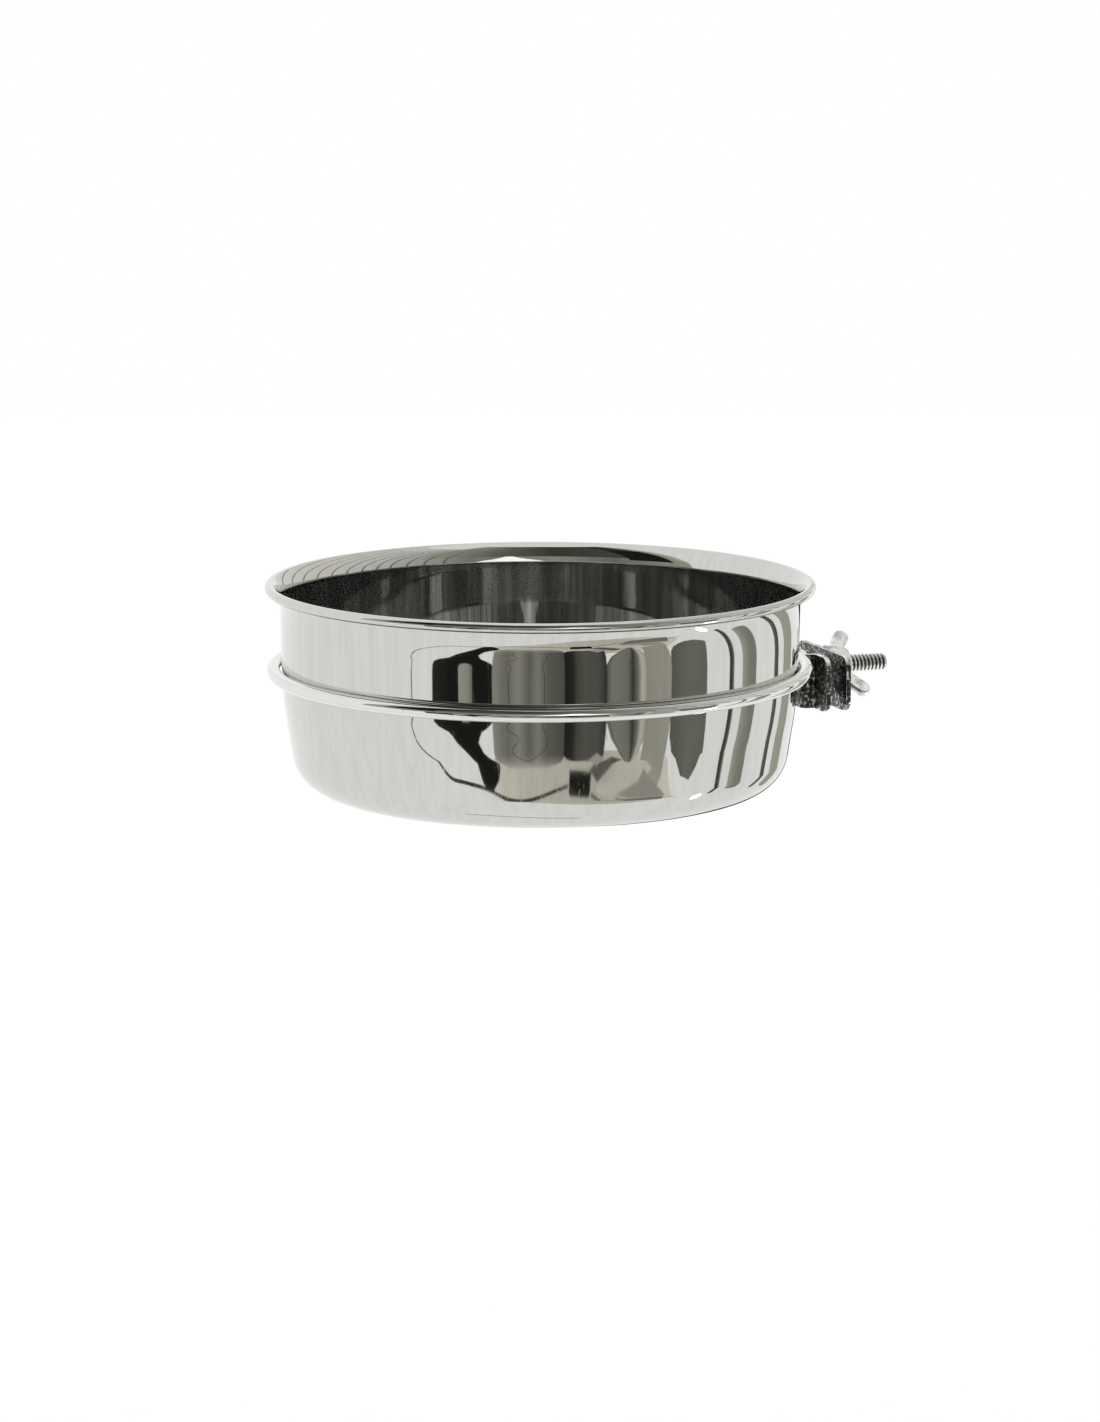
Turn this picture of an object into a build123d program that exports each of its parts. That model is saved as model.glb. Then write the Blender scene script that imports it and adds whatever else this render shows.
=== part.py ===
from build123d import *
import math
import os

# Seed cup that hangs on cage bars: a drawn steel cup sits in a wire ring, and a
# bolt, a loose plate and a wing nut clamp the ring's pressed plate to the bars.
# Millimetres. The origin is on the bolt's axis, in the plane where the fixed
# plate meets the bars. +X runs along the bolt, away from the cup, and +Z is up.

# Cup: outside sizes of the drawn sheet, depths measured down from the rim
wall_diameter = 132.4
rim_overhang = 3.8
cup_height = 52.8
cup_sheet = 0.7
wall_draft = 1.2
taper_angle = 8.7
taper_depth = 29.1
taper_blend = 95.0
corner_radius = 9.8
flare_radius = 5.8
curl_radius = 1.25
curl_turn = 205.0

# Wire ring round the cup
wire_diameter = 3.5
ring_depth = 22.4
ring_clearance = 0.3

# Clamp plates: both have the same outline
plate_length = 32.0
plate_height = 14.2
plate_sheet = 1.3
plate_corner = 3.0
web_width = 13.4
web_depth = 3.2
bend_radius = 0.6
bar_gap = 4.3

# Weld beads between the ring and the raised web
weld_size = 1.6
weld_length = 11.0

# Bolt, welded by its head inside the raised web
bolt_diameter = 4.8
bolt_reach = 22.1
bolt_below_ring = 4.2
bolt_above_middle = 2.6
bolt_tip_chamfer = 0.6
head_diameter = 8.8
head_recess = 0.7
head_edge = 0.5

# Loose plate and wing nut on the bolt
plate_hole_clearance = 0.1
nut_clearance = 0.08
hub_base_diameter = 10.4
hub_top_diameter = 8.2
hub_height = 5.6
hub_edge = 0.5
wing_span = 22.4
wing_height = 9.2
wing_lobe_radius = 2.1
wing_root_radius = 1.8
wing_thickness = 2.1
wing_edge = 0.6
wing_rest_angle = 52.0

# Places that follow from the sizes above
wall_radius = wall_diameter / 2
rim_radius = wall_radius + rim_overhang
ring_z = bolt_below_ring
rim_z = ring_z + ring_depth
plate_middle_z = -bolt_above_middle
loose_x = bar_gap
nut_x = loose_x + plate_sheet


def flare():
    """Depth at which the flare leaves the wall, and how far it turns to meet the curl."""
    draft = math.radians(wall_draft)
    curl_inside = curl_radius - cup_sheet
    centres = flare_radius - curl_inside
    across = wall_radius + flare_radius * math.cos(draft) - (rim_radius - curl_radius)
    down = math.sqrt(centres**2 - across**2)
    depth = curl_radius + down - flare_radius * math.sin(draft)
    turn = 180 - wall_draft - math.degrees(math.atan2(down, -across))
    return depth, turn


flare_depth, flare_turn = flare()
taper_radius = wall_radius - (taper_depth - flare_depth) * math.tan(math.radians(wall_draft))


def wall_radius_at(depth):
    """Outside radius of the wall's straight lines at a depth below the rim."""
    drafted = wall_radius - (depth - flare_depth) * math.tan(math.radians(wall_draft))
    tapered = taper_radius - (depth - taper_depth) * math.tan(math.radians(taper_angle))
    return min(drafted, tapered)


wire_to_wall = (wire_diameter / 2 + ring_clearance) / math.cos(math.radians(taper_angle))
ring_radius = wall_radius_at(ring_depth) + wire_to_wall
web_x = -(web_depth + plate_sheet)
cup_x = web_x - wire_diameter / 2 - ring_radius


def make_cup():
    """One drawn sheet: flat bottom, tapered and drafted wall, flared and curled rim."""
    foot = (wall_radius_at(cup_height), -cup_height)
    knee = (taper_radius, -taper_depth)
    shoulder = (wall_radius, -flare_depth)
    body = FilletPolyline((0, -cup_height), foot, knee, shoulder, radius=[corner_radius, taper_blend])
    neck = JernArc(body @ 1, body % 1, flare_radius, -flare_turn)
    over = JernArc(neck @ 1, neck % 1, curl_radius - cup_sheet, -curl_turn / 2)
    under = JernArc(over @ 1, over % 1, curl_radius - cup_sheet, -curl_turn / 2)
    outside = Wire([*body.edges(), *neck.edges(), *over.edges(), *under.edges()])
    section = Face(outside.offset_2d(cup_sheet, kind=Kind.ARC, side=Side.LEFT, closed=True))
    sheet = revolve(Plane.XZ * section, Axis.Z)
    return Pos(cup_x, 0, rim_z) * sheet


def make_holder_ring():
    """Round wire bent to a closed ring."""
    return Pos(cup_x, 0, ring_z) * Torus(ring_radius, wire_diameter / 2)


def rounded_ends(plate):
    """Rounds the four corners of a clamp plate's outline."""
    half = plate_length / 2
    ends = [e for e in plate.edges().filter_by(Axis.X) if abs(abs(e.center().Y) - half) < 0.01]
    return fillet(ends, plate_corner)


def make_fixed_plate():
    """Pressed plate: two tabs that meet the bars and a web raised towards the cup."""
    bend = min(bend_radius, 0.45 * (web_depth - plate_sheet))
    end, side = plate_length / 2, web_width / 2
    bar_side = FilletPolyline(
        (0, -end),
        (0, -side),
        (-web_depth, -side),
        (-web_depth, side),
        (0, side),
        (0, end),
        radius=[bend + plate_sheet, bend, bend, bend + plate_sheet],
    )
    path = Wire(bar_side.edges())
    section = Face(path.offset_2d(plate_sheet, kind=Kind.ARC, side=Side.LEFT, closed=True))
    plate = extrude(section, plate_height, dir=(0, 0, 1))
    return rounded_ends(Pos(0, 0, plate_middle_z - plate_height / 2) * plate)


def make_ring_welds(ring, plate):
    """Two weld beads along the wire: under it against the web, and over it on the plate's top edge."""
    arc = 2 * math.degrees(math.asin(weld_length / 2 / ring_radius))
    web_radius = ring_radius + wire_diameter / 2
    plate_top = plate_middle_z + plate_height / 2 - ring_z
    under = Pos(web_radius - weld_size / 2, -wire_diameter / 2) * Circle(weld_size)
    over = Pos(web_radius - weld_size / 3, plate_top + weld_size / 3) * Circle(weld_size)
    over -= Pos(web_radius, plate_top - 2 * weld_size) * Rectangle(8 * weld_size, 4 * weld_size)
    beads = []
    for section in (under, over):
        bead = revolve(Plane.XZ * section, Axis.Z, arc)
        beads.append(Pos(cup_x, 0, ring_z) * Rot(0, 0, -arc / 2) * bead - ring - plate)
    return Compound([solid for bead in beads for solid in bead.solids()])


def make_clamp_bolt():
    """Round-headed bolt, its head flat against the inside of the web."""
    along_x = Plane.YZ
    head_height = web_depth - head_recess
    head = extrude(along_x.offset(-web_depth) * Circle(head_diameter / 2), head_height)
    head = fillet(head.edges().sort_by(Axis.X)[-1], min(head_edge, 0.4 * head_height))
    shank_start = -head_recess
    shank = extrude(along_x.offset(shank_start) * Circle(bolt_diameter / 2), bolt_reach - shank_start)
    shank = chamfer(shank.edges().sort_by(Axis.X)[-1], bolt_tip_chamfer)
    return head + shank


def make_loose_plate():
    """Flat plate behind the bars, with the bolt's clearance hole."""
    plate = Pos(loose_x, 0, plate_middle_z) * Box(
        plate_sheet, plate_length, plate_height, align=(Align.MIN, Align.CENTER, Align.CENTER)
    )
    hole = Circle(bolt_diameter / 2 + plate_hole_clearance)
    return rounded_ends(plate) - extrude(Plane.YZ.offset(loose_x) * hole, plate_sheet)


def make_wing_nut():
    """Conical hub with two rounded wings, seated on the loose plate."""
    hub = revolve(
        Plane.XZ * make_face(
            Polyline(
                (0, 0),
                (hub_base_diameter / 2, 0),
                (hub_top_diameter / 2, hub_height),
                (0, hub_height),
                close=True,
            )
        ),
        Axis.Z,
    )
    hub = fillet(hub.edges().sort_by(Axis.Z)[-1], hub_edge)
    lobe = Pos(wing_span / 2 - wing_lobe_radius, wing_height - wing_lobe_radius) * Circle(wing_lobe_radius)
    root = Pos(hub_top_diameter / 2 - wing_root_radius / 2, hub_height / 2) * Circle(wing_root_radius)
    outline = make_hull([*lobe.edges(), *root.edges()])
    wing = extrude(Plane.XZ * outline, wing_thickness / 2, both=True)
    wing = fillet(wing.edges().group_by(Axis.Y)[0] + wing.edges().group_by(Axis.Y)[-1], min(
        wing_edge, 0.45 * wing_thickness
    ))
    nut = hub + wing + Rot(0, 0, 180) * wing
    nut -= Cylinder(
        bolt_diameter / 2 + nut_clearance, wing_height, align=(Align.CENTER, Align.CENTER, Align.MIN)
    )
    return Pos(nut_x, 0, 0) * Rot(90 - wing_rest_angle, 0, 0) * Rot(0, 90, 0) * Rot(0, 0, 90) * nut


fixed_plate = make_fixed_plate()
holder_ring = make_holder_ring()
parts = {
    "cup": make_cup(),
    "holder_ring": holder_ring,
    "fixed_plate": fixed_plate,
    "ring_welds": make_ring_welds(holder_ring, fixed_plate),
    "clamp_bolt": make_clamp_bolt(),
    "loose_plate": make_loose_plate(),
    "wing_nut": make_wing_nut(),
}

os.makedirs("parts", exist_ok=True)
for name, solid in parts.items():
    export_step(solid, f"parts/{name}.step")
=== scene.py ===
import math
import random

import bmesh
import bpy
from mathutils import Matrix, Vector


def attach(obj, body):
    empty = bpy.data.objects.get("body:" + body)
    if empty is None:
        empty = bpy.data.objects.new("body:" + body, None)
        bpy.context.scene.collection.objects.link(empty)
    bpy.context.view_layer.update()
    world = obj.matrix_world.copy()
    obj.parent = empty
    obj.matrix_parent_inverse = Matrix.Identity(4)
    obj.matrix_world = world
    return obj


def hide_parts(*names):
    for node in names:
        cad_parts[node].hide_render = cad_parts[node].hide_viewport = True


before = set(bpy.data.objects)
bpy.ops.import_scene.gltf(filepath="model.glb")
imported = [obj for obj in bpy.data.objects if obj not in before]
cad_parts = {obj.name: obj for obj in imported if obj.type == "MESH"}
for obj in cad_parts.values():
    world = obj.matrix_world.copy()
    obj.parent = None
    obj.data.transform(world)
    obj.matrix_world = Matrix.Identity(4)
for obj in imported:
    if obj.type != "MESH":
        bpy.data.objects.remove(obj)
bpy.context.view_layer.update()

# Sizes of the part in millimetres, as the solids have them
MM = 0.001
WALL_DIAMETER, RIM_OVERHANG, CUP_HEIGHT, SHEET = 132.4, 3.8, 52.8, 0.7
WALL_DRAFT, TAPER_ANGLE, TAPER_DEPTH, TAPER_BLEND = 1.2, 8.7, 29.1, 95.0
CORNER_RADIUS, FLARE_RADIUS, CURL_RADIUS, CURL_TURN = 9.8, 5.8, 1.25, 205.0
WIRE, RING_DEPTH, RING_CLEARANCE = 3.5, 22.4, 0.3
PLATE_LENGTH, PLATE_HEIGHT, PLATE_SHEET, PLATE_CORNER = 32.0, 14.2, 1.3, 3.0
WEB_WIDTH, WEB_DEPTH, BEND_RADIUS, BAR_GAP = 13.4, 3.2, 0.6, 4.3
WELD_SIZE, WELD_LENGTH = 1.6, 11.0
BOLT_DIAMETER, BOLT_REACH, BOLT_BELOW_RING, BOLT_ABOVE_MIDDLE = 4.8, 22.1, 4.2, 2.6
TIP_CHAMFER, HEAD_DIAMETER, HEAD_RECESS, HEAD_EDGE = 0.6, 8.8, 0.7, 0.5
HOLE_CLEARANCE, NUT_CLEARANCE = 0.1, 0.08
HUB_BASE, HUB_TOP, HUB_HEIGHT = 10.4, 8.2, 5.6
WING_SPAN, WING_HEIGHT, WING_LOBE, WING_ROOT = 22.4, 9.2, 2.1, 1.8
WING_THICKNESS, WING_REST_ANGLE = 2.1, 52.0

# Soft rolls that only the outside's shading shows: below the flare, and above the corner
ROLL_ANGLE, ROLL_REACH, ROLL_FADE = 13.8, 8.6, 2.5
LOW_ROLL_ANGLE, LOW_ROLL_START = 1.8, 5.0

# Details that the solids leave out: worn edges, and the bolt's thread, which starts a little off its head
WEB_EDGE, LOOSE_EDGE, HEAD_CHAMFER, HEAD_FILLET = 0.28, 0.26, 0.15, 0.25
THREAD_PITCH, THREAD_DEPTH, THREAD_START = 25.4 / 24, 0.58, 0.3

# Shares of the thread's half pitch that its crest and its flank take
THREAD_CREST, THREAD_FLANK = 0.12, 0.74

# Places through a wing's thickness, as shares of it, and how far the outline draws in there
WING_SECTION = ((0.5, 0.30), (0.24, 0.0), (-0.24, 0.0), (-0.5, 0.30))

# Steps round each form
ROUND_STEPS, WIRE_STEPS, BOLT_STEPS, HOLE_STEPS = 288, 32, 48, 48
HUB_STEPS, LOBE_STEPS, CORNER_STEPS = 64, 40, 8


def tan(degrees):
    """Tangent of an angle in degrees."""
    return math.tan(math.radians(degrees))


def flare():
    """Depth at which the flare leaves the wall, and how far it turns to meet the curl."""
    draft = math.radians(WALL_DRAFT)
    centres = FLARE_RADIUS - (CURL_RADIUS - SHEET)
    across = FLARE_RADIUS * math.cos(draft) - (RIM_OVERHANG - CURL_RADIUS)
    down = math.sqrt(centres**2 - across**2)
    depth = CURL_RADIUS + down - FLARE_RADIUS * math.sin(draft)
    return depth, 180 - WALL_DRAFT - math.degrees(math.atan2(down, -across))


FLARE_DEPTH, FLARE_TURN = flare()
WALL_RADIUS = WALL_DIAMETER / 2
TAPER_RADIUS = WALL_RADIUS - (TAPER_DEPTH - FLARE_DEPTH) * tan(WALL_DRAFT)
FOOT_RADIUS = TAPER_RADIUS - (CUP_HEIGHT - TAPER_DEPTH) * tan(TAPER_ANGLE)
RING_WALL = WALL_RADIUS - (RING_DEPTH - FLARE_DEPTH) * tan(WALL_DRAFT)
RING_RADIUS = RING_WALL + (WIRE / 2 + RING_CLEARANCE) / math.cos(math.radians(TAPER_ANGLE))
RING_Z = BOLT_BELOW_RING
RIM_Z = RING_Z + RING_DEPTH
PLATE_Z = -BOLT_ABOVE_MIDDLE
LOOSE_X = BAR_GAP
NUT_X = LOOSE_X + PLATE_SHEET
CUP_X = -(WEB_DEPTH + PLATE_SHEET) - WIRE / 2 - RING_RADIUS


# Mesh helpers
def make_object(name, points, faces, normals=None):
    """Mesh object from points in millimetres, smooth, with the given normals if there are any."""
    mesh = bpy.data.meshes.new(name)
    mesh.from_pydata([tuple(MM * c for c in p) for p in points], [], faces)
    mesh.polygons.foreach_set("use_smooth", [True] * len(mesh.polygons))
    if normals is not None:
        mesh.normals_split_custom_set_from_vertices(normals)
    made = bpy.data.objects.new(name, mesh)
    bpy.context.scene.collection.objects.link(made)
    return made


def from_shape(name, shape):
    """Mesh object from a mesh that was being built."""
    mesh = bpy.data.meshes.new(name)
    shape.to_mesh(mesh)
    shape.free()
    made = bpy.data.objects.new(name, mesh)
    bpy.context.scene.collection.objects.link(made)
    return made


def finish_piece(piece, body, node, slot, *materials):
    """Puts a piece on its CAD body in the place of its CAD node, with its materials in their order."""
    while len(piece.data.materials) < len(materials):
        piece.data.materials.append(None)
    for i, material in enumerate(materials):
        piece.data.materials[i] = material
    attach(piece, body)
    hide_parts(node)


def apply_modifiers(piece):
    """Replaces a piece's mesh by what its modifiers make of it."""
    graph = bpy.context.evaluated_depsgraph_get()
    mesh = bpy.data.meshes.new_from_object(piece.evaluated_get(graph))
    piece.modifiers.clear()
    old = piece.data
    piece.data = mesh
    bpy.data.meshes.remove(old)
    mesh.name = piece.name
    mesh.polygons.foreach_set("use_smooth", [True] * len(mesh.polygons))


class Path:
    """A line in a section that runs straight and turns, with its heading at each point."""

    def __init__(self, point, heading):
        self.points = [tuple(point)]
        self.headings = [heading]

    def line(self, length, steps):
        """Runs straight on."""
        x, z = self.points[-1]
        h = self.headings[-1]
        for i in range(1, steps + 1):
            run = length * i / steps
            self.points.append((x + run * math.cos(h), z + run * math.sin(h)))
            self.headings.append(h)
        return self

    def arc(self, radius, turn, steps):
        """Turns by an angle in degrees, to the left if it is positive."""
        x, z = self.points[-1]
        h = self.headings[-1]
        side = math.copysign(1, turn)
        cx, cz = x - side * radius * math.sin(h), z + side * radius * math.cos(h)
        for i in range(1, steps + 1):
            now = h + math.radians(turn) * i / steps
            self.points.append((cx + side * radius * math.sin(now), cz - side * radius * math.cos(now)))
            self.headings.append(now)
        return self

    def sides(self, thickness):
        """Points and normals of the line itself and of the same line moved to its left."""
        left = [(-math.sin(h), math.cos(h)) for h in self.headings]
        right = [(-a, -b) for a, b in left]
        moved = [(p[0] + thickness * n[0], p[1] + thickness * n[1]) for p, n in zip(self.points, left)]
        return self.points, right, moved, left


def join_rows(rows, steps):
    """Faces between neighbouring rows of points; a row is its first index and its count, 1 at a pole."""
    faces = []
    for (a, na), (b, nb) in zip(rows, rows[1:]):
        for i in range(steps):
            j = (i + 1) % steps
            quad = [a + i % na, a + j % na, b + j % nb, b + i % nb]
            faces.append([v for n, v in enumerate(quad) if v not in quad[:n]])
    return faces


def revolve(name, profile, normals, centre):
    """Turns a profile of (radius, height) about a vertical axis; it is closed or runs from pole to pole."""
    on_axis = 1e-9
    points, vectors, rows = [], [], []
    for (r, z), (nr, nz) in zip(profile, normals):
        count = 1 if r < on_axis else ROUND_STEPS
        rows.append((len(points), count))
        for i in range(count):
            a = 2 * math.pi * i / ROUND_STEPS
            points.append((centre[0] + r * math.cos(a), centre[1] + r * math.sin(a), centre[2] + z))
            vectors.append((nr * math.cos(a), nr * math.sin(a), nz))
    if profile[0][0] > on_axis:
        rows.append(rows[0])
    return make_object(name, points, join_rows(rows, ROUND_STEPS), vectors)


# Pieces
def eased(point, normal):
    """Outside normal with the soft roll that drawing leaves below the flare and above the corner."""
    depth = -point[1]
    roll_end = FLARE_DEPTH + ROLL_REACH
    low_start = TAPER_DEPTH + LOW_ROLL_START
    low_end = CUP_HEIGHT - CORNER_RADIUS * (1 - math.sin(math.radians(TAPER_ANGLE)))
    tilt = 0.0
    if FLARE_DEPTH <= depth < roll_end:
        tilt = ROLL_ANGLE * ((roll_end - depth) / ROLL_REACH) ** 2
    elif FLARE_DEPTH - ROLL_FADE < depth < FLARE_DEPTH:
        tilt = ROLL_ANGLE * (depth - FLARE_DEPTH + ROLL_FADE) / ROLL_FADE
    elif low_start < depth <= low_end:
        tilt = LOW_ROLL_ANGLE * (depth - low_start) / (low_end - low_start)
    elif low_end < depth < low_end + ROLL_FADE:
        tilt = LOW_ROLL_ANGLE * (low_end + ROLL_FADE - depth) / ROLL_FADE
    turn = math.radians(tilt)
    return (
        normal[0] * math.cos(turn) + normal[1] * math.sin(turn),
        normal[1] * math.cos(turn) - normal[0] * math.sin(turn),
    )


def make_cup():
    """Drawn sheet: flat bottom, corner, taper, drafted wall, flare and curled edge."""
    corner_turn = 90 - TAPER_ANGLE
    blend_turn = TAPER_ANGLE - WALL_DRAFT
    corner_run = CORNER_RADIUS * tan(corner_turn / 2)
    blend_run = TAPER_BLEND * tan(blend_turn / 2)
    taper = math.hypot(TAPER_RADIUS - FOOT_RADIUS, CUP_HEIGHT - TAPER_DEPTH)
    draft = math.hypot(WALL_RADIUS - TAPER_RADIUS, TAPER_DEPTH - FLARE_DEPTH)
    path = Path((0, -CUP_HEIGHT), 0.0)
    path.line(FOOT_RADIUS - corner_run, steps=10).arc(CORNER_RADIUS, corner_turn, steps=20)
    path.line(taper - corner_run - blend_run, steps=8).arc(TAPER_BLEND, blend_turn, steps=12)
    path.line(draft - blend_run, steps=24)
    neck = len(path.points) - 1
    path.arc(FLARE_RADIUS, -FLARE_TURN, steps=18).arc(CURL_RADIUS - SHEET, -CURL_TURN, steps=26)
    outside, out_normals, inside, in_normals = path.sides(SHEET)
    out_normals = [eased(point, normal) for point, normal in zip(outside, out_normals)]
    edge = Path(outside[-1], path.headings[-1]).arc(SHEET / 2, 180, steps=6)
    edge_normals = [(math.sin(h), -math.cos(h)) for h in edge.headings]
    profile = outside + edge.points[1:-1] + inside[::-1]
    normals = out_normals + edge_normals[1:-1] + in_normals[::-1]
    piece = revolve("cup_sheet", profile, normals, (CUP_X, 0, RIM_Z))
    first_inner_row = len(profile) - 1 - neck
    for face in piece.data.polygons:
        face.material_index = 1 if face.index // ROUND_STEPS >= first_inner_row else 0
    return piece


def make_ring():
    """Round wire bent to a closed ring."""
    profile, normals = [], []
    for i in range(WIRE_STEPS):
        a = 2 * math.pi * i / WIRE_STEPS
        normals.append((math.cos(a), math.sin(a)))
        profile.append((RING_RADIUS + WIRE / 2 * math.cos(a), WIRE / 2 * math.sin(a)))
    return revolve("ring_wire", profile, normals, (CUP_X, 0, RING_Z))


def end_height(from_end):
    """Half the height of a clamp plate at a distance from its rounded end."""
    inset = max(0.0, PLATE_CORNER - from_end)
    return PLATE_HEIGHT / 2 - PLATE_CORNER + math.sqrt(PLATE_CORNER**2 - inset**2)


def bevel(piece, width):
    """Rounds a plate's sharp edges, in millimetres; they and the top faces get the second material, which
    carries a painted highlight.
    """
    sharp_degrees, facing_up = 38, 0.3
    rounding = piece.modifiers.new("edges", "BEVEL")
    rounding.width = width * MM
    rounding.segments = 3
    rounding.limit_method = "ANGLE"
    rounding.angle_limit = math.radians(sharp_degrees)
    rounding.harden_normals = True
    while len(piece.data.materials) < 2:
        piece.data.materials.append(None)
    rounding.material = 1
    apply_modifiers(piece)
    # Faces that look up get the bright edge material: a painted highlight on the plates' tops.
    for face in piece.data.polygons:
        if face.normal.z > facing_up:
            face.material_index = 1


def make_fixed_plate():
    """Pressed strip: two tabs that meet the bars and a web raised towards the ring."""
    bend = min(BEND_RADIUS, 0.45 * (WEB_DEPTH - PLATE_SHEET))
    end, side, outer = PLATE_LENGTH / 2, WEB_WIDTH / 2, bend + PLATE_SHEET
    tab = end - side - outer
    web_steps = 6
    path = Path((0, -end), math.pi / 2)
    for i in range(1, CORNER_STEPS + 1):
        run = PLATE_CORNER * (1 - math.cos(math.pi / 2 * i / CORNER_STEPS))
        path.points.append((0, -end + run))
        path.headings.append(math.pi / 2)
    path.line(tab - PLATE_CORNER, steps=3).arc(outer, 90, steps=8).line(WEB_DEPTH - outer - bend, steps=1)
    path.arc(bend, -90, steps=6).line(WEB_WIDTH - 2 * bend, web_steps)
    middle = len(path.points) - web_steps // 2
    points, headings = path.points[:middle], path.headings[:middle]
    path.points = points + [(x, -y) for x, y in points[:-1]][::-1]
    path.headings = headings + [math.pi - h for h in headings[:-1]][::-1]
    bar_side, _, cup_side, _ = path.sides(PLATE_SHEET)
    corners, faces = [], []
    for p, q in zip(bar_side, cup_side):
        h = end_height(end - abs(p[1]))
        corners += [(p[0], p[1], PLATE_Z - h), (p[0], p[1], PLATE_Z + h)]
        corners += [(q[0], q[1], PLATE_Z + h), (q[0], q[1], PLATE_Z - h)]
    for k in range(len(bar_side) - 1):
        a, b = 4 * k, 4 * k + 4
        for i in range(4):
            j = (i + 1) % 4
            faces.append([a + i, b + i, b + j, a + j])
    last = 4 * (len(bar_side) - 1)
    faces += [[0, 1, 2, 3], [last + 3, last + 2, last + 1, last]]
    piece = make_object("clamp_web_plate", corners, faces)
    bevel(piece, WEB_EDGE)
    return piece


def make_loose_plate():
    """Flat strip with rounded corners and the bolt's clearance hole."""
    rim = []
    for quarter, (sy, sz) in enumerate([(1, 1), (-1, 1), (-1, -1), (1, -1)]):
        cy = sy * (PLATE_LENGTH / 2 - PLATE_CORNER)
        cz = PLATE_Z + sz * (PLATE_HEIGHT / 2 - PLATE_CORNER)
        for i in range(CORNER_STEPS + 1):
            a = math.pi / 2 * (quarter + i / CORNER_STEPS)
            rim.append((cy + PLATE_CORNER * math.cos(a), cz + PLATE_CORNER * math.sin(a)))
    radius = BOLT_DIAMETER / 2 + HOLE_CLEARANCE
    turns = [2 * math.pi * i / HOLE_STEPS for i in range(HOLE_STEPS)]
    hole = [(radius * math.cos(a), radius * math.sin(a)) for a in turns]
    shape = bmesh.new()
    edges = []
    for loop in (rim, hole):
        ends = [shape.verts.new((LOOSE_X * MM, y * MM, z * MM)) for y, z in loop]
        edges += [shape.edges.new((ends[i], ends[(i + 1) % len(ends)])) for i in range(len(ends))]
    bmesh.ops.triangle_fill(shape, use_beauty=True, use_dissolve=False, edges=edges)
    made = bmesh.ops.extrude_face_region(shape, geom=list(shape.faces))
    moved = [v for v in made["geom"] if isinstance(v, bmesh.types.BMVert)]
    bmesh.ops.translate(shape, vec=(PLATE_SHEET * MM, 0, 0), verts=moved)
    bmesh.ops.recalc_face_normals(shape, faces=list(shape.faces))
    piece = from_shape("clamp_back_plate", shape)
    bevel(piece, LOOSE_EDGE)
    return piece


def thread_radius(x, turn):
    """Radius of the bolt's right-hand thread at a place along it and an angle, as a share of a turn."""
    phase = (x / THREAD_PITCH - turn) % 1.0
    height = 1 - abs(2 * phase - 1)
    sunk = min(1.0, max(0.0, (height - THREAD_CREST) / THREAD_FLANK))
    return BOLT_DIAMETER / 2 - THREAD_DEPTH * sunk


def make_bolt():
    """Round head inside the web and a threaded shank with a chamfered tip."""
    rows_per_pitch = 12
    start, head_top = -HEAD_RECESS, -WEB_DEPTH
    head_radius, shank = HEAD_DIAMETER / 2, BOLT_DIAMETER / 2
    head = [(head_top, 0.0), (head_top, head_radius - HEAD_CHAMFER), (head_top + HEAD_CHAMFER, head_radius)]
    for degrees in range(0, 91, 15):
        out = HEAD_EDGE * math.cos(math.radians(degrees))
        rise = HEAD_EDGE * math.sin(math.radians(degrees))
        head.append((start - HEAD_EDGE + rise, head_radius - HEAD_EDGE + out))
    head.append((start, shank + HEAD_FILLET))
    points, rows = [], []
    for x, r in head:
        count = 1 if r == 0 else BOLT_STEPS
        rows.append((len(points), count))
        for i in range(count):
            a = 2 * math.pi * i / BOLT_STEPS
            points.append((x, r * math.cos(a), r * math.sin(a)))
    steps = int((BOLT_REACH - start) / THREAD_PITCH * rows_per_pitch)
    for k in range(steps + 1):
        x = start + (BOLT_REACH - start) * k / steps
        fade = min(1.0, max(0.0, (x - start - THREAD_START) / THREAD_PITCH))
        rows.append((len(points), BOLT_STEPS))
        for i in range(BOLT_STEPS):
            a = 2 * math.pi * i / BOLT_STEPS
            r = shank - fade * (shank - thread_radius(x, i / BOLT_STEPS))
            r = min(r, shank - TIP_CHAMFER + (BOLT_REACH - x))
            points.append((x, r * math.cos(a), r * math.sin(a)))
    rows.append((len(points), 1))
    points.append((BOLT_REACH, 0, 0))
    piece = make_object("bolt_threaded", points, join_rows(rows, BOLT_STEPS))
    mark_sharp(piece, degrees=40)
    return piece


def mark_sharp(piece, degrees):
    """Keeps edges sharper than an angle crisp in the shading."""
    piece.data.set_sharp_from_angle(angle=math.radians(degrees))


def lump(shape, centre, radius):
    """Adds one ball, in millimetres, to a mesh that is being built."""
    place = Matrix.Translation(Vector(centre) * MM)
    bmesh.ops.create_icosphere(shape, subdivisions=3, radius=radius * MM, matrix=place)


def cone(shape, base, top, height, middle):
    """Adds one closed cone along Z, in millimetres, to a mesh that is being built."""
    bmesh.ops.create_cone(
        shape,
        cap_ends=True,
        segments=HUB_STEPS,
        radius1=base * MM,
        radius2=top * MM,
        depth=height * MM,
        matrix=Matrix.Translation((0, 0, middle * MM)),
    )


def melt(name, shape, voxel, smoothing):
    """Turns overlapping balls and blocks into one closed skin."""
    piece = from_shape(name, shape)
    skin = piece.modifiers.new("skin", "REMESH")
    skin.mode = "VOXEL"
    skin.voxel_size = voxel * MM
    soft = piece.modifiers.new("soft", "SMOOTH")
    soft.factor = 0.5
    soft.iterations = smoothing
    apply_modifiers(piece)
    return piece


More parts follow.
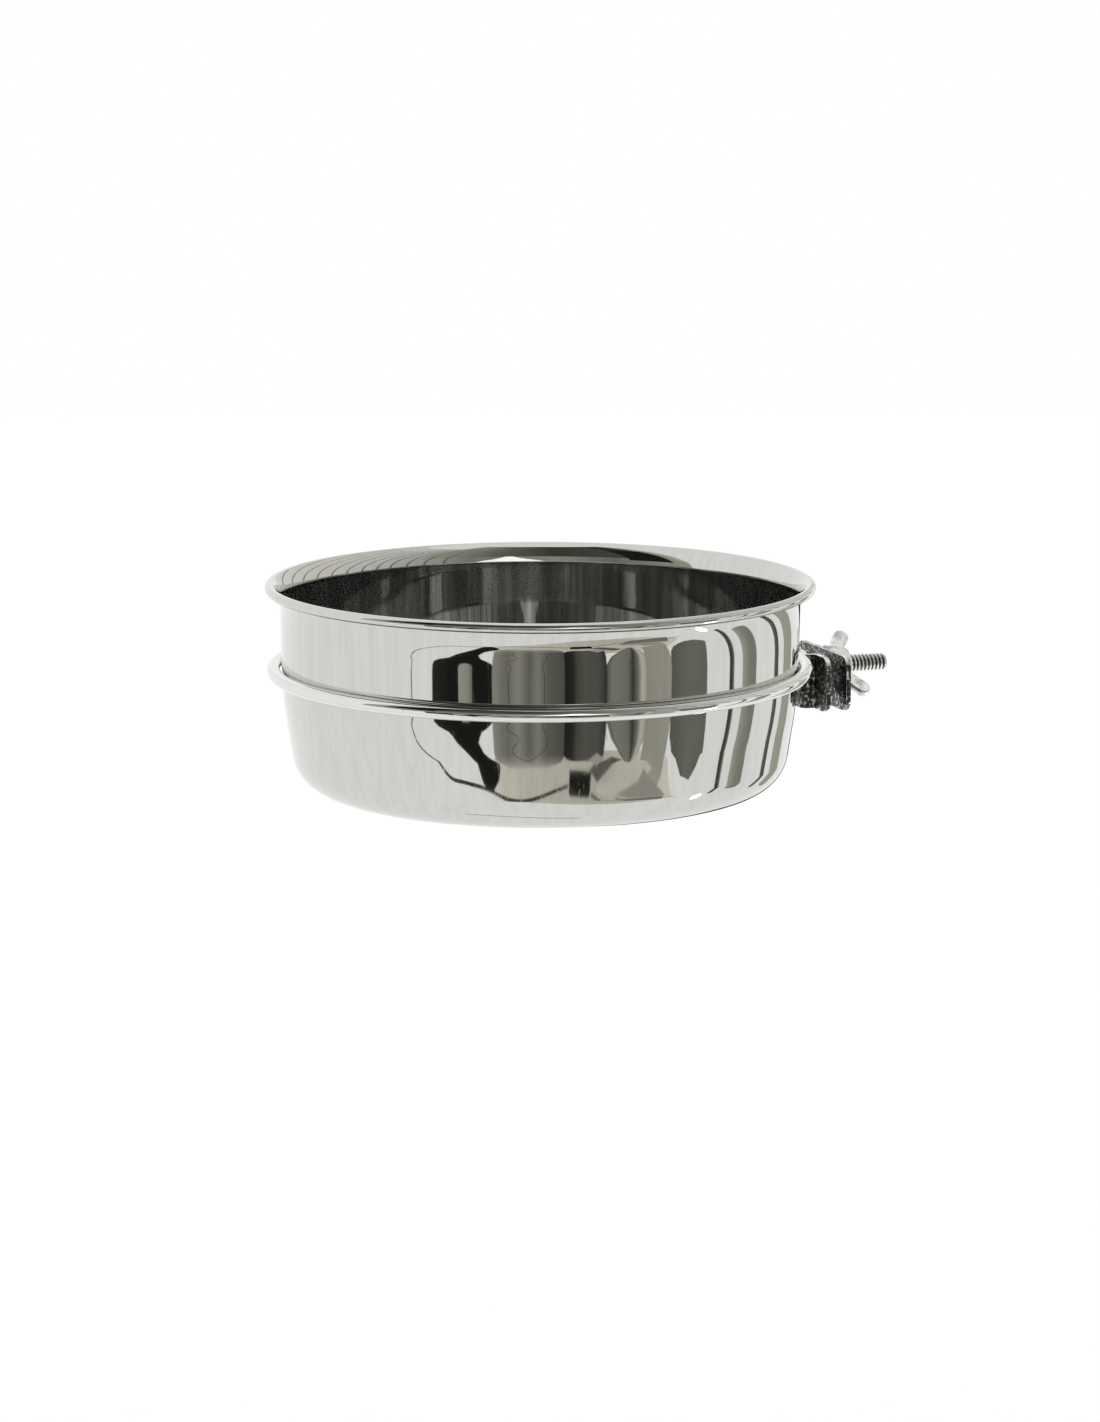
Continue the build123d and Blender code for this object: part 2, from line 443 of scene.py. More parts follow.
def make_welds():
    """Lumpy beads: one under the wire against the web, and one over the plate's top edge."""
    draw = random.Random(11)
    shape = bmesh.new()
    arc = WELD_LENGTH / RING_RADIUS
    web_radius = RING_RADIUS + WIRE / 2
    plate_top = PLATE_Z + PLATE_HEIGHT / 2
    length_share, size_share, out, rise = 0.86, (0.62, 0.86), (-0.25, 0.15), (-0.3, 0.25)
    # Each bead's distance from the cup's axis, its height and its number of lumps
    under = (web_radius - 0.75, RING_Z - WIRE / 2 - 0.2, 13)
    over = (web_radius - 0.45, plate_top + 0.55, 12)
    for radius, z, count in (under, over):
        for i in range(count):
            a = arc * (i / (count - 1) - 0.5) * length_share
            size = WELD_SIZE * draw.uniform(*size_share)
            r = radius + draw.uniform(*out)
            centre = (CUP_X + r * math.cos(a), r * math.sin(a), z + draw.uniform(*rise))
            lump(shape, centre, size)
    return melt("weld_beads", shape, voxel=0.16, smoothing=3)


def make_wing_nut():
    """Conical hub and two rounded wings in one piece, on the bolt's thread."""
    shape = bmesh.new()
    cone(shape, HUB_BASE / 2, HUB_TOP / 2, HUB_HEIGHT, HUB_HEIGHT / 2)
    lobe = (WING_SPAN / 2 - WING_LOBE, WING_HEIGHT - WING_LOBE, WING_LOBE)
    root = (HUB_TOP / 2 - WING_ROOT / 2, HUB_HEIGHT / 2, WING_ROOT)
    for side in (1, -1):
        ends = []
        for x, z, r in (lobe, root):
            for i in range(LOBE_STEPS):
                a = 2 * math.pi * i / LOBE_STEPS
                for y, shrink in WING_SECTION:
                    ends.append(shape.verts.new((
                        side * (x + (r - shrink) * math.cos(a)) * MM,
                        y * WING_THICKNESS * MM,
                        (z + (r - shrink) * math.sin(a)) * MM,
                    )))
        hull = bmesh.ops.convex_hull(shape, input=ends)
        bmesh.ops.delete(shape, geom=[v for v in hull["geom_interior"] if v.is_valid], context="VERTS")
    bmesh.ops.recalc_face_normals(shape, faces=list(shape.faces))
    piece = melt("wing_nut_cast", shape, voxel=0.15, smoothing=6)
    bore_radius = BOLT_DIAMETER / 2 + NUT_CLEARANCE
    bore_shape = bmesh.new()
    cone(bore_shape, bore_radius, bore_radius, 4 * HUB_HEIGHT, 0)
    cutter = from_shape("bore", bore_shape)
    bore = piece.modifiers.new("bore", "BOOLEAN")
    bore.operation = "DIFFERENCE"
    bore.solver = "EXACT"
    bore.object = cutter
    bpy.context.view_layer.update()
    apply_modifiers(piece)
    bpy.data.objects.remove(cutter)
    mark_sharp(piece, degrees=50)
    turn = Matrix.Rotation(math.radians(90 - WING_REST_ANGLE), 4, "X")
    lay = Matrix.Rotation(math.pi / 2, 4, "Y") @ Matrix.Rotation(math.pi / 2, 4, "Z")
    piece.data.transform(Matrix.Translation((NUT_X * MM, 0, 0)) @ turn @ lay)
    return piece


# Materials
EVEN = (1, 1, 1)


def add(tree, kind, settings=None, **inputs):
    """Adds a shader node, sets its options, and sets or links its inputs by name or number."""
    made = tree.nodes.new(kind)
    for key, value in (settings or {}).items():
        setattr(made, key, value)
    for key, value in inputs.items():
        place = int(key[1:]) if key[1:].isdigit() else key.replace("_", " ")
        if isinstance(value, bpy.types.NodeSocket):
            tree.links.new(value, made.inputs[place])
        else:
            made.inputs[place].default_value = value
    return made


def ramp(tree, factor, stops):
    """Colour ramp with (place, grey or colour) stops."""
    made = add(tree, "ShaderNodeValToRGB", Fac=factor)
    elements = made.color_ramp.elements
    while len(elements) < len(stops):
        elements.new(0.5)
    for element, (place, tone) in zip(elements, stops):
        element.position = place
        element.color = (*tone, 1) if isinstance(tone, tuple) else (tone, tone, tone, 1)
    return made.outputs["Color"]


def noise(tree, scale, stretch, detail=4.0, roughness=0.6, coordinates=None):
    """Noise over the part's own coordinates, with its features stretched along each axis."""
    if coordinates is None:
        coordinates = add(tree, "ShaderNodeTexCoord").outputs["Object"]
    mapping = add(tree, "ShaderNodeMapping", Vector=coordinates, Scale=stretch)
    made = add(
        tree,
        "ShaderNodeTexNoise",
        Vector=mapping.outputs["Vector"],
        Scale=scale,
        Detail=detail,
        Roughness=roughness,
    )
    return made.outputs["Fac"]


def combine(tree, operation, *values):
    """Result of a math node over sockets or numbers."""
    inputs = {f"_{i}": value for i, value in enumerate(values)}
    return add(tree, "ShaderNodeMath", {"operation": operation}, **inputs).outputs["Value"]


def spread(tree, value, low, high, top=1.0):
    """How far a value is from a low to a high one: 0 up to the top."""
    made = add(tree, "ShaderNodeMapRange", Value=value, From_Min=low, From_Max=high, To_Max=top)
    return made.outputs["Result"]


def blend(tree, share, first, second):
    """Mix of two colours by a share."""
    return add(tree, "ShaderNodeMix", {"data_type": "RGBA"}, Factor=share, _6=first, _7=second).outputs[2]


def split(tree, kind):
    """X, Y and Z of one kind of coordinate."""
    coordinates = add(tree, "ShaderNodeTexCoord").outputs[kind]
    return add(tree, "ShaderNodeSeparateXYZ", Vector=coordinates).outputs


def vector(tree, **parts):
    """Vector from some of its X, Y and Z."""
    return add(tree, "ShaderNodeCombineXYZ", **parts).outputs["Vector"]


def length(tree, flat):
    """Length of a vector."""
    return add(tree, "ShaderNodeVectorMath", {"operation": "LENGTH"}, _0=flat).outputs["Value"]


def bump(tree, height, strength, distance, **under):
    """Normal of a bumpy surface, over another normal if there is one."""
    made = add(tree, "ShaderNodeBump", Strength=strength, Distance=distance, Height=height, **under)
    return made.outputs["Normal"]


def metal(name, metallic=1.0):
    """New material with a metal Principled shader."""
    material = bpy.data.materials.new(name)
    material.use_nodes = True
    shader = material.node_tree.nodes["Principled BSDF"]
    shader.inputs["Metallic"].default_value = metallic
    return material, material.node_tree


def dressed(material, tone, rough, normal):
    """The material with its colour, roughness and normal linked."""
    tree = material.node_tree
    shader = tree.nodes["Principled BSDF"]
    for name, source in (("Base Color", tone), ("Roughness", rough), ("Normal", normal)):
        tree.links.new(source, shader.inputs[name])
    return material


def from_axis(tree):
    """Distance from the cup's axis, and height, over the cup and its ring."""
    place = split(tree, "Object")
    beside = combine(tree, "SUBTRACT", place["X"], CUP_X * MM)
    return length(tree, vector(tree, X=beside, Y=place["Y"])), place["Z"]


def with_rings(tree, drawn):
    """Lines up the wall that turn into polishing rings on the flat bottom."""
    radius, _ = from_axis(tree)
    rings = noise(tree, 900.0, EVEN, 4.0, 0.65, vector(tree, X=radius))
    upright = combine(tree, "ABSOLUTE", split(tree, "Normal")["Z"])
    share = spread(tree, upright, 0.6, 0.95)
    return add(tree, "ShaderNodeMix", Factor=share, _2=drawn, _3=rings).outputs["Result"]


def shade_under_curl(tree):
    """Share of the painted shade line under the curl, high on the flare's outside, where the gap between
    curl and flare lies in shade.
    """
    _, height = from_axis(tree)
    below = spread(tree, split(tree, "Normal")["Z"], -0.52, -0.68)
    high = spread(tree, height, (RIM_Z - 8) * MM, (RIM_Z - 6) * MM)
    return combine(tree, "MULTIPLY", below, high)


def polished_steel():
    """Mirror-polished drawn steel: draw lines up the wall, fine scratches, smudges, slight waviness, and a
    painted shade line under the curl.
    """
    material, tree = metal("polished_steel")
    lines = with_rings(tree, noise(tree, 520.0, (1, 1, 0.03), 5.0, 0.65))
    smudges = noise(tree, 34.0, (1, 1, 0.8), 3.0)
    scratches = noise(tree, 2600.0, (1, 1, 0.02), 2.0)
    waves = noise(tree, 60.0, (1, 1, 0.45), 2.0, 0.4)
    clean = ramp(tree, lines, [
        (0.30, (0.575, 0.57, 0.54)), (0.55, (0.62, 0.617, 0.592)), (0.75, (0.65, 0.648, 0.627)),
    ])
    # A dark line high on the flare's outside: painted shade of the gap under the curl.
    tone = blend(tree, shade_under_curl(tree), clean, (0.12, 0.118, 0.108, 1))
    base = ramp(tree, smudges, [(0.35, 0.015), (0.70, 0.05)])
    marks = ramp(tree, scratches, [(0.60, 0.0), (0.78, 0.09)])
    rough = combine(tree, "ADD", base, marks)
    wavy = bump(tree, waves, 0.07, 0.0004)
    return dressed(material, tone, rough, bump(tree, lines, 0.018, 0.00005, Normal=wavy))


def inner_steel():
    """The cup's inside: the same sheet, less polished, with streaks from washing down its wall."""
    material, tree = metal("inner_steel", 0.965)
    lines = with_rings(tree, noise(tree, 520.0, (1, 1, 0.03), 1.5, 0.5))
    streaks = with_rings(tree, noise(tree, 150.0, (1, 1, 0.10), 3.0, 0.6))
    stains = noise(tree, 38.0, (1, 1, 1.4), 1.5, 0.5)
    bands = noise(tree, 26.0, (1, 1, 0.12), 2.0, 0.5)
    worn = combine(tree, "ADD", streaks, combine(tree, "MULTIPLY_ADD", bands, 0.7, -0.35))
    tone = ramp(tree, worn, [
        (0.34, (0.33, 0.328, 0.318)), (0.50, (0.485, 0.482, 0.468)), (0.66, (0.645, 0.641, 0.625)),
    ])
    rough = ramp(tree, stains, [(0.42, 0.01), (0.50, 0.02), (0.56, 0.05)])
    grain = bump(tree, lines, 0.02, 0.0001)
    return dressed(material, tone, rough, bump(tree, stains, 0.05, 0.0006, Normal=grain))


def plated_wire():
    """Bright plate on drawn wire, with die lines that run along the wire."""
    material, tree = metal("plated_wire")
    radius, height = from_axis(tree)
    lines = noise(tree, 3200.0, EVEN, 3.0, 0.6, vector(tree, X=radius, Y=height))
    cloud = noise(tree, 90.0, EVEN, 4.0)
    pits = noise(tree, 1500.0, EVEN, 2.0)
    tone = ramp(tree, lines, [(0.30, (0.66, 0.66, 0.65)), (0.70, (0.84, 0.84, 0.83))])
    base = ramp(tree, cloud, [(0.35, 0.01), (0.75, 0.04)])
    spots = ramp(tree, pits, [(0.66, 0.0), (0.80, 0.12)])
    return dressed(material, tone, combine(tree, "ADD", base, spots), bump(tree, lines, 0.03, 0.0001))


def plated_plate():
    """Worn, pebbled plate over pressed steel: dark with bright specks, where the dark tone is painted shade
    and the specks on the pebbles' tops are painted glints.
    """
    material, tree = metal("plated_plate")
    pebbles = noise(tree, 1150.0, EVEN, 2.0)
    cloud = noise(tree, 170.0, EVEN, 4.0)
    # Painted shade gives the plate its dark look, and painted glints sit on the pebbles' tops.
    tone = ramp(tree, pebbles, [
        (0.42, (0.045, 0.045, 0.043)), (0.57, (0.18, 0.18, 0.174)), (0.64, (0.95, 0.95, 0.93)),
    ])
    rough = ramp(tree, cloud, [(0.30, 0.20), (0.75, 0.42)])
    return dressed(material, tone, rough, bump(tree, pebbles, 0.55, 0.0003))


def edge_wear_and_highlight():
    """Edges of the plates, rubbed bright in broken lengths and painted lighter as a highlight; the plates'
    tops get it too.
    """
    material, tree = metal("edge_wear_and_highlight")
    wear = noise(tree, 420.0, EVEN, 4.0, 0.7)
    # Bright tones: rubbed wear in broken lengths, together with a painted highlight along the edges.
    tone = ramp(tree, wear, [
        (0.34, (0.16, 0.16, 0.156)), (0.48, (0.72, 0.72, 0.71)), (0.62, (0.94, 0.94, 0.93)),
    ])
    rough = ramp(tree, wear, [(0.35, 0.36), (0.66, 0.14)])
    return dressed(material, tone, rough, bump(tree, wear, 0.2, 0.0002))


def weld_metal():
    """Rough plated weld: painted highlights on its crests, painted shade in its hollows."""
    material, tree = metal("weld_metal")
    grit = noise(tree, 1500.0, EVEN, 4.0, 0.7)
    # Tone follows the bump's height: painted shade in the hollows, painted highlights on the crests.
    tone = ramp(tree, grit, [
        (0.38, (0.07, 0.07, 0.068)), (0.49, (0.36, 0.36, 0.35)), (0.57, (0.95, 0.95, 0.94)),
    ])
    rough = ramp(tree, grit, [(0.35, 0.40), (0.66, 0.12)])
    return dressed(material, tone, rough, bump(tree, grit, 0.6, 0.0004))


def plated_bolt():
    """Zinc plate, with painted shade in the thread's roots and a painted highlight on its crests, and bright
    on the bolt's end.
    """
    material, tree = metal("plated_bolt")
    place = split(tree, "Object")
    radius = length(tree, vector(tree, X=place["Y"], Y=place["Z"]))
    # Painted light on the thread: dark in its roots and bright on its crests.
    crest = spread(tree, radius, (BOLT_DIAMETER / 2 - THREAD_DEPTH) * MM, BOLT_DIAMETER / 2 * MM)
    end = spread(tree, split(tree, "Normal")["X"], 0.9, 0.98, top=0.7)
    grime = noise(tree, 1100.0, EVEN, 3.0)
    bright = combine(tree, "MULTIPLY_ADD", grime, 0.4, combine(tree, "MAXIMUM", crest, end))
    tone = ramp(tree, bright, [
        (0.25, (0.045, 0.045, 0.043)), (0.72, (0.48, 0.48, 0.47)), (0.92, (0.95, 0.95, 0.94)),
    ])
    rough = ramp(tree, bright, [(0.25, 0.42), (1.0, 0.15)])
    return dressed(material, tone, rough, bump(tree, grime, 0.15, 0.0001))


def plated_nut():
    """Bright plate on the wing nut, with a soft orange-peel surface."""
    material, tree = metal("plated_nut")
    peel = noise(tree, 900.0, EVEN, 3.0)
    cloud = noise(tree, 240.0, EVEN, 3.0)
    tone = ramp(tree, cloud, [
        (0.36, (0.45, 0.45, 0.44)), (0.50, (0.86, 0.86, 0.85)), (0.64, (0.97, 0.97, 0.965)),
    ])
    rough = ramp(tree, peel, [(0.35, 0.06), (0.72, 0.20)])
    return dressed(material, tone, rough, bump(tree, peel, 0.35, 0.0004))


plate_finish, edge_finish = plated_plate(), edge_wear_and_highlight()
finish_piece(make_cup(), "cup", "cup", "polished_steel", polished_steel(), inner_steel())
finish_piece(make_ring(), "holder", "holder_ring", "plated_wire", plated_wire())
finish_piece(make_fixed_plate(), "holder", "fixed_plate", "plated_plate", plate_finish, edge_finish)
finish_piece(make_welds(), "holder", "ring_welds", "weld_metal", weld_metal())
finish_piece(make_bolt(), "holder", "clamp_bolt", "plated_bolt", plated_bolt())
finish_piece(make_loose_plate(), "loose_plate", "loose_plate", "plated_plate", plate_finish, edge_finish)
finish_piece(make_wing_nut(), "wing_nut", "wing_nut", "plated_nut", plated_nut())

# Camera, found from the rim's ellipse and the cup's outline in the photograph
IMAGE_WIDTH, IMAGE_HEIGHT = 1100, 1422
FOCAL_PIXELS, CAMERA_AZIMUTH, CAMERA_PITCH = 4130.0, -20.0, 10.484
RIM_PIXEL, RIM_DISTANCE = (540.0, 580.07), 1.0507
azimuth, pitch = math.radians(CAMERA_AZIMUTH), math.radians(CAMERA_PITCH)
forward = Vector((
    -math.sin(azimuth) * math.cos(pitch),
    math.cos(azimuth) * math.cos(pitch),
    -math.sin(pitch),
))
right = Vector((math.cos(azimuth), math.sin(azimuth), 0))
up = right.cross(forward)
rim_centre = Vector((CUP_X, 0, RIM_Z)) * MM
aside = (RIM_PIXEL[0] - IMAGE_WIDTH / 2) / FOCAL_PIXELS
above = (IMAGE_HEIGHT / 2 - RIM_PIXEL[1]) / FOCAL_PIXELS
camera_data = bpy.data.cameras.new("camera")
camera_data.sensor_width = 36.0
camera_data.lens = FOCAL_PIXELS * camera_data.sensor_width / IMAGE_HEIGHT
camera = bpy.data.objects.new("camera", camera_data)
bpy.context.scene.collection.objects.link(camera)
camera.location = rim_centre - RIM_DISTANCE * (forward + aside * right + above * up)
camera.rotation_mode = "QUATERNION"
camera.rotation_quaternion = Matrix((right, up, -forward)).transposed().to_quaternion()
bpy.context.scene.camera = camera

# Stage: white studio, pale floor far below, and flags that only the metal reflects
bpy.context.scene.view_settings.view_transform = "Standard"
FLOOR_Z, FLOOR_RADIUS, FLOOR_GLOW, ABOVE_FLOOR = -0.60, 6.0, 0.2, 0.004
FLAG_DISTANCE, NEAR_DISTANCE, CABLE_DISTANCE, FACET_DISTANCE = 1.1, 1.08, 1.06, 1.05
WARM = (1.0, 0.985, 0.86)
DARK = 0.015
centre = Vector((CUP_X * MM, 0, 0))
to_camera = -Vector((forward.x, forward.y, 0)).normalized()
world = bpy.data.worlds.new("studio")
world.use_nodes = True
bpy.context.scene.world = world
background = world.node_tree.nodes["Background"]
background.inputs["Color"].default_value = (1, 1, 1, 1)
background.inputs["Strength"].default_value = 1.0


def seen_directly(tree):
    """Share that is 1 where the camera, a mirror or glass looks at a surface, and 0 where it only lights."""
    rays = add(tree, "ShaderNodeLightPath").outputs
    camera_or_metal = combine(tree, "MAXIMUM", rays["Is Camera Ray"], rays["Is Glossy Ray"])
    return combine(tree, "MAXIMUM", camera_or_metal, rays["Is Transmission Ray"])


def make_floor():
    """Wide pale floor that keeps the object's soft shadow."""
    shape = bmesh.new()
    place = Matrix.Translation((0, 0, FLOOR_Z))
    bmesh.ops.create_circle(shape, cap_ends=True, segments=96, radius=FLOOR_RADIUS, matrix=place)
    floor = from_shape("floor", shape)
    material = bpy.data.materials.new("floor")
    material.use_nodes = True
    tree = material.node_tree
    shader = tree.nodes["Principled BSDF"]
    shader.inputs["Roughness"].default_value = 0.9
    shader.inputs["Specular IOR Level"].default_value = 0.1
    shader.inputs["Emission Color"].default_value = (1, 1, 1, 1)
    paper = ramp(tree, noise(tree, 40.0, EVEN, 4.0), [(0.3, 0.80), (0.7, 0.82)])
    glow = combine(tree, "MULTIPLY", seen_directly(tree), FLOOR_GLOW)
    tree.links.new(paper, shader.inputs["Base Color"])
    tree.links.new(glow, shader.inputs["Emission Strength"])
    floor.data.materials.append(material)


def on_sphere(azimuth, elevation, distance):
    """Place round the cup, with azimuth 0 towards the camera and positive to its right."""
    a, e = math.radians(azimuth), math.radians(elevation)
    flat = to_camera * math.cos(a) + right * math.sin(a)
    return centre + distance * (flat * math.cos(e) + Vector((0, 0, math.sin(e))))


def warm(grey):
    """The studio's slightly warm tone of a grey."""
    return tuple(grey * part for part in WARM)


def even(tone):
    """Stops of a panel that has one tone."""
    return [(0.0, tone), (1.0, tone)]


def show_to_metal(panel, stops, strength=1.0, foot=None):
    """Gives a panel its tones across, from its foot's up, and hides it from all but reflections."""
    foot_end = 0.75
    material = bpy.data.materials.new(panel.name)
    material.use_nodes = True
    tree = material.node_tree
    tree.nodes.remove(tree.nodes["Principled BSDF"])
    place = split(tree, "UV")
    tones = [(at, tone if isinstance(tone, tuple) else warm(tone)) for at, tone in stops]
    tone = ramp(tree, place["X"], tones)
    if foot is not None:
        tone = blend(tree, spread(tree, place["Y"], 0.0, foot_end), (*warm(foot), 1), tone)
    glow = add(tree, "ShaderNodeEmission", Color=tone, Strength=strength)
    tree.links.new(glow.outputs["Emission"], tree.nodes["Material Output"].inputs["Surface"])
    panel.data.materials.append(material)
    for ray in ("camera", "diffuse", "transmission", "volume_scatter", "shadow"):
        setattr(panel, "visible_" + ray, False)


def flag(name, rows, stops, distance=FLAG_DISTANCE, foot=None, strength=1.0):
    """Curved panel through rows of (elevation, left, right); with distance 0 it lies on the floor."""
    step_degrees = 3
    widest = max(row[2] - row[1] for row in rows)
    steps = max(2, int(widest / step_degrees))
    points, faces, marks = [], [], []
    for k, (elevation, left, end) in enumerate(rows):
        reach = distance or (FLOOR_Z + ABOVE_FLOOR) / math.sin(math.radians(elevation))
        for i in range(steps + 1):
            points.append(tuple(on_sphere(left + (end - left) * i / steps, elevation, reach) / MM))
            marks.append((i / steps, k / (len(rows) - 1)))
    for k in range(len(rows) - 1):
        for i in range(steps):
            a = k * (steps + 1) + i
            faces.append([a, a + 1, a + steps + 2, a + steps + 1])
    panel = make_object(name, points, faces)
    layer = panel.data.uv_layers.new(name="across")
    for loop in panel.data.loops:
        layer.data[loop.index].uv = marks[loop.vertex_index]
    show_to_metal(panel, stops, strength, foot)


def between(p, q, r, s, t):
    """Number at a share of the way from q to r, on a smooth curve through p, q, r and s."""
    bend = p - 2.5 * q + 2 * r - s / 2
    twist = 1.5 * (q - r) + (s - p) / 2
    return q + t * (r - p) / 2 + t * t * bend + t**3 * twist


def cable(name, points, width, tone, distance=CABLE_DISTANCE):
    """Thin smooth line through (azimuth, elevation) points."""
    knots = [points[0], *points, points[-1]]
    places = []
    for four in zip(knots, knots[1:], knots[2:], knots[3:]):
        for t in (0, 0.25, 0.5, 0.75):
            spot = [between(*numbers, t) for numbers in zip(*four)]
            places.append(on_sphere(*spot, distance))
    corners = []
    for i, place in enumerate(places):
        along = places[min(i + 1, len(places) - 1)] - places[max(i - 1, 0)]
        side = along.cross(place - centre).normalized() * width / 2
        corners += [tuple((place - side) / MM), tuple((place + side) / MM)]
    faces = [[2 * i, 2 * i + 2, 2 * i + 3, 2 * i + 1] for i in range(len(places) - 1)]
    show_to_metal(make_object(name, corners, faces), even(tone))


def facet(name, corners, tone, strength=1.0, distance=FACET_DISTANCE):
    """Flat panel through (azimuth, elevation) corners."""
    points = [tuple(on_sphere(*corner, distance) / MM) for corner in corners]
    show_to_metal(make_object(name, points, [list(range(len(points)))]), even(tone), strength)


def column(left, right, low, corner, high=1.0):
    """Rows of an upright panel whose lower corners are rounded by a number of degrees."""
    flatness = 0.6
    rows = []
    for degrees in (0, 22, 45, 68, 90):
        inset = corner * (1 - math.sin(math.radians(degrees)))
        rise = corner * (1 - math.cos(math.radians(degrees))) * flatness
        rows.append((low + rise, left + inset, right - inset))
    return rows + [(high, left, right)]


def wide(left, right, low, high):
    """Rows of a large panel, close enough to follow the sphere."""
    steps = 8
    return [(low + (high - low) * k / steps, left, right) for k in range(steps + 1)]


make_floor()

# The room above, which the inside and the rim mirror
flag("flag_room", wide(-76, 62, 27, 76), [
    (0.0, 0.60), (0.07, 0.30), (0.09, 0.05), (0.22, 0.04),
    (0.25, 0.08), (0.5, 0.06), (0.72, 0.16), (1.0, 0.42),
])
flag("flag_mid_room", wide(-76, 62, 2, 27), [
    (0.0, 0.42), (0.3, 0.20), (0.5, 0.34), (0.8, 0.26), (1.0, (0.50, 0.50, 0.48)),
])
flag("flag_black_high", wide(-67, -44, 18, 58), even(DARK), NEAR_DISTANCE)
flag("flag_right", wide(62, 172, 4, 66), [
    (0.0, (0.50, 0.50, 0.48)), (0.3, (0.72, 0.72, 0.71)),
    (0.6, (0.80, 0.79, 0.75)), (1.0, (0.86, 0.85, 0.80)),
])
for i, left in enumerate((46, 56, 65, 74, 82, 91, 101, 112, 124, 137, 150, 163)):
    flag(f"flag_stand_{i}", wide(left, left + 1.2, 4, 60), [(0.0, 0.12), (1.0, 0.2)], NEAR_DISTANCE)

# What stands round the cup, which its wall mirrors, from left to right
flag("flag_black", [
    (-30.2, -24.0, -21.0), (-29.2, -26.2, -18.6), (-28.0, -27.4, -17.8), (-26.6, -28.6, -18.6),
    (-25.2, -30.2, -22.0), (-23.5, -32.2, -24.6), (-20.4, -36.4, -26.6), (-18.6, -38.0, -25.8),
    (-17.3, -39.6, -25.0), (-15.8, -44.0, -22.0), (-14.6, -45.8, -20.4), (-13.0, -46.5, -19.5),
    (1.0, -46.5, -19.5),
], [(0.0, 0.03), (0.3, DARK), (1.0, DARK)], NEAR_DISTANCE)
flag("flag_slot", column(-34.6, -28.6, -14.4, 2.8), [(0.0, 0.42), (0.6, 0.36), (1.0, 0.2)], distance=1.06)
flag("flag_grey_mid", column(-20, 11, -28.0, 7.0), [
    (0.0, 0.34), (0.2, 0.20), (0.35, 0.32), (0.5, 0.17), (0.62, 0.28), (0.75, 0.15), (1.0, 0.10),
], foot=0.50)
flag("flag_blue", column(10.5, 28.5, -26.0, 4.0), [
    (0.0, 0.02), (0.2, 0.03), (0.3, 0.09), (0.5, 0.12), (0.85, 0.10), (1.0, 0.04),
], NEAR_DISTANCE)
flag("flag_block", column(13.5, 23.5, -31.0, 1.0, -28.2), even(DARK), NEAR_DISTANCE)
flag("flag_arch", [
    (-26.5, 39.0, 42.0), (-23.0, 35.0, 44.5), (-19.0, 31.0, 46.5), (-14.0, 28.5, 47.0), (1.0, 28.5, 47.0),
], [(0.0, 0.12), (0.12, 0.26), (0.5, 0.22), (0.62, 0.05), (0.75, 0.20), (0.85, 0.62), (1.0, 0.4)])
flag("flag_beige", column(46, 58, -29.0, 5.0), [(0.0, 0.38), (1.0, 0.42)], foot=0.5)
flag("flag_green", [
    (-26.5, 68.0, 73.0), (-25.0, 64.0, 76.0), (-23.0, 61.0, 78.5),
    (-19.0, 58.8, 77.5), (-12.0, 57.6, 76.4), (1.0, 57.6, 76.4),
], [(0.0, 0.13), (0.5, 0.20), (1.0, 0.18)], NEAR_DISTANCE)
flag("flag_line_1", column(89.5, 92.5, -34, 1.0), [(0.0, 0.10), (0.5, 0.05), (1.0, 0.3)])
flag("flag_patch_1", column(98, 108, -29.0, 4.0), [(0.0, 0.45), (0.5, 0.30), (1.0, 0.26)])
flag("flag_line_2", column(124, 128, -30, 1.0), [(0.0, 0.16), (1.0, 0.08)])
flag("flag_patch_2", column(134, 145, -28, 4.0), [(0.0, 0.45), (1.0, 0.40)])

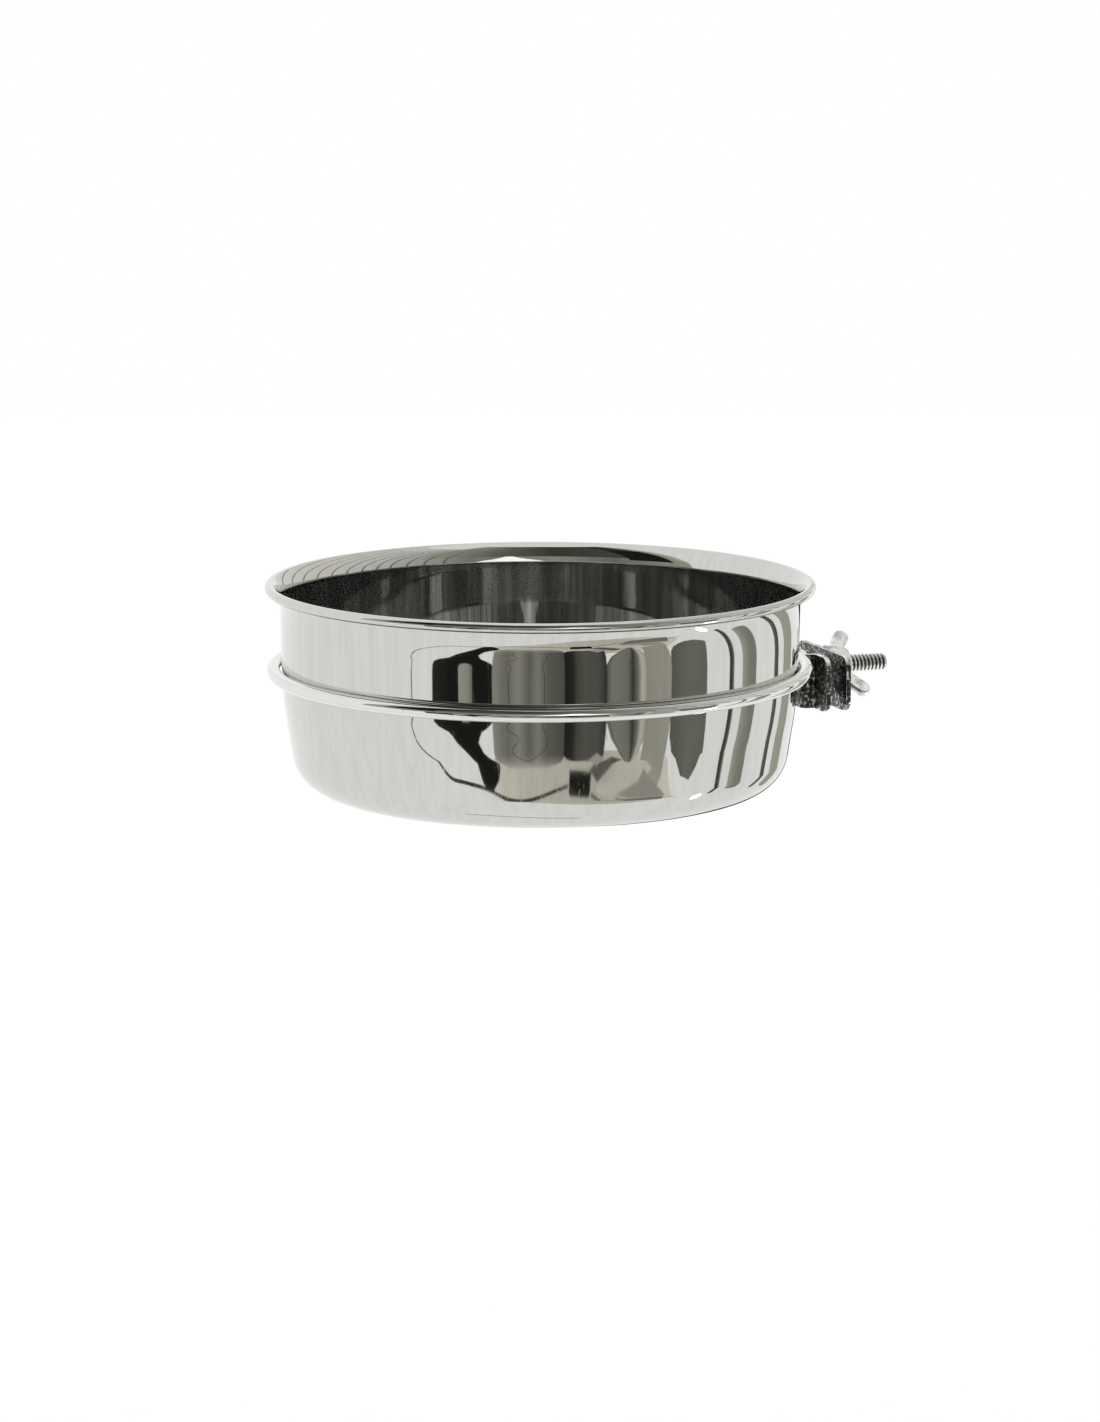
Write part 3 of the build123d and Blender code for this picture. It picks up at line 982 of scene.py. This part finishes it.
# Thin lines across them, and one far below
cable("cable_left", [
    (-56, 1), (-56.5, -8), (-56, -13), (-57, -16), (-55, -21), (-49, -25), (-42, -28),
    (-34, -29), (-24, -30), (-16, -31.2), (-8, -31.6), (0, -31.2), (8, -30.4), (14, -29.8),
], width=0.008, tone=0.05)
cable("cable_mid", [
    (-16, 1), (-15, -8), (-12, -13), (-14, -16), (-9, -19), (-12, -23),
    (-5, -26), (3, -21), (1, -14), (4, -6), (2, 1),
], width=0.004, tone=0.05)
cable("cable_right", [
    (24, -30.6), (33, -32), (40, -34), (50, -33), (60, -32), (72, -34),
], width=0.008, tone=0.10)
low_curve = [(a, -80 + 0.002 * (a - 25) ** 2) for a in range(-60, 61, 6)]
cable("cable_low", low_curve, width=0.014, tone=0.12, distance=0.58)

# A bright strip for the inside, a sheet on the floor, and small facets low on the right
flag("flag_strip", [
    (3, -2, 31), (8, 1, 28), (14, 6, 23), (20, 10, 20), (27, 13.5, 17),
], [(0.0, (0.9, 0.9, 0.88)), (0.2, (1.0, 1.0, 0.98)), (1.0, (0.9, 0.9, 0.88))], distance=1.07, strength=1.6)
flag("flag_floor", [
    (-40, 18, 48), (-37, 8, 58), (-34, -4, 64), (-31.5, -17, 67),
    (-29, -22, 65), (-27.0, -22, 62), (-25.0, -20, 60), (-23.0, -10, 56),
], [(0.0, 0.80), (0.15, 0.66), (0.6, 0.58), (1.0, 0.80)], distance=0)
facet("facet_square", [(21.8, -25.6), (25.3, -23.4), (29.1, -25.2), (25.8, -27.6)], 0.42)
facet("facet_leg", [(32.5, -24.5), (37.5, -25.5), (26.5, -29.2), (22.5, -28.0)], 0.13, distance=1.055)
facet("facet_shard", [(47.1, -25.6), (52.6, -26.7), (30.9, -30.6), (24.4, -29.9)], 0.66)
facet("facet_fold", [(47.6, -26.8), (61.2, -28.8), (36.2, -30.1)], 0.36, distance=1.045)
facet("facet_shade", [(35.7, -30.4), (60.5, -29.3), (62.0, -35.0), (46.0, -37.0)], 0.22, distance=1.045)

# A dark edge at the back, and a low lamp
flag("flag_edge", column(165, 177, -32, 1.0, -2.0), [(0.0, 0.05), (1.0, 0.04)])
turns = [t * math.pi / 6 for t in range(12)]
oval = [(84 + 2.4 * math.cos(t), -36.5 + 3.8 * math.sin(t)) for t in turns]
facet("lamp_low", oval, tone=1.0, strength=12.0, distance=0.8)
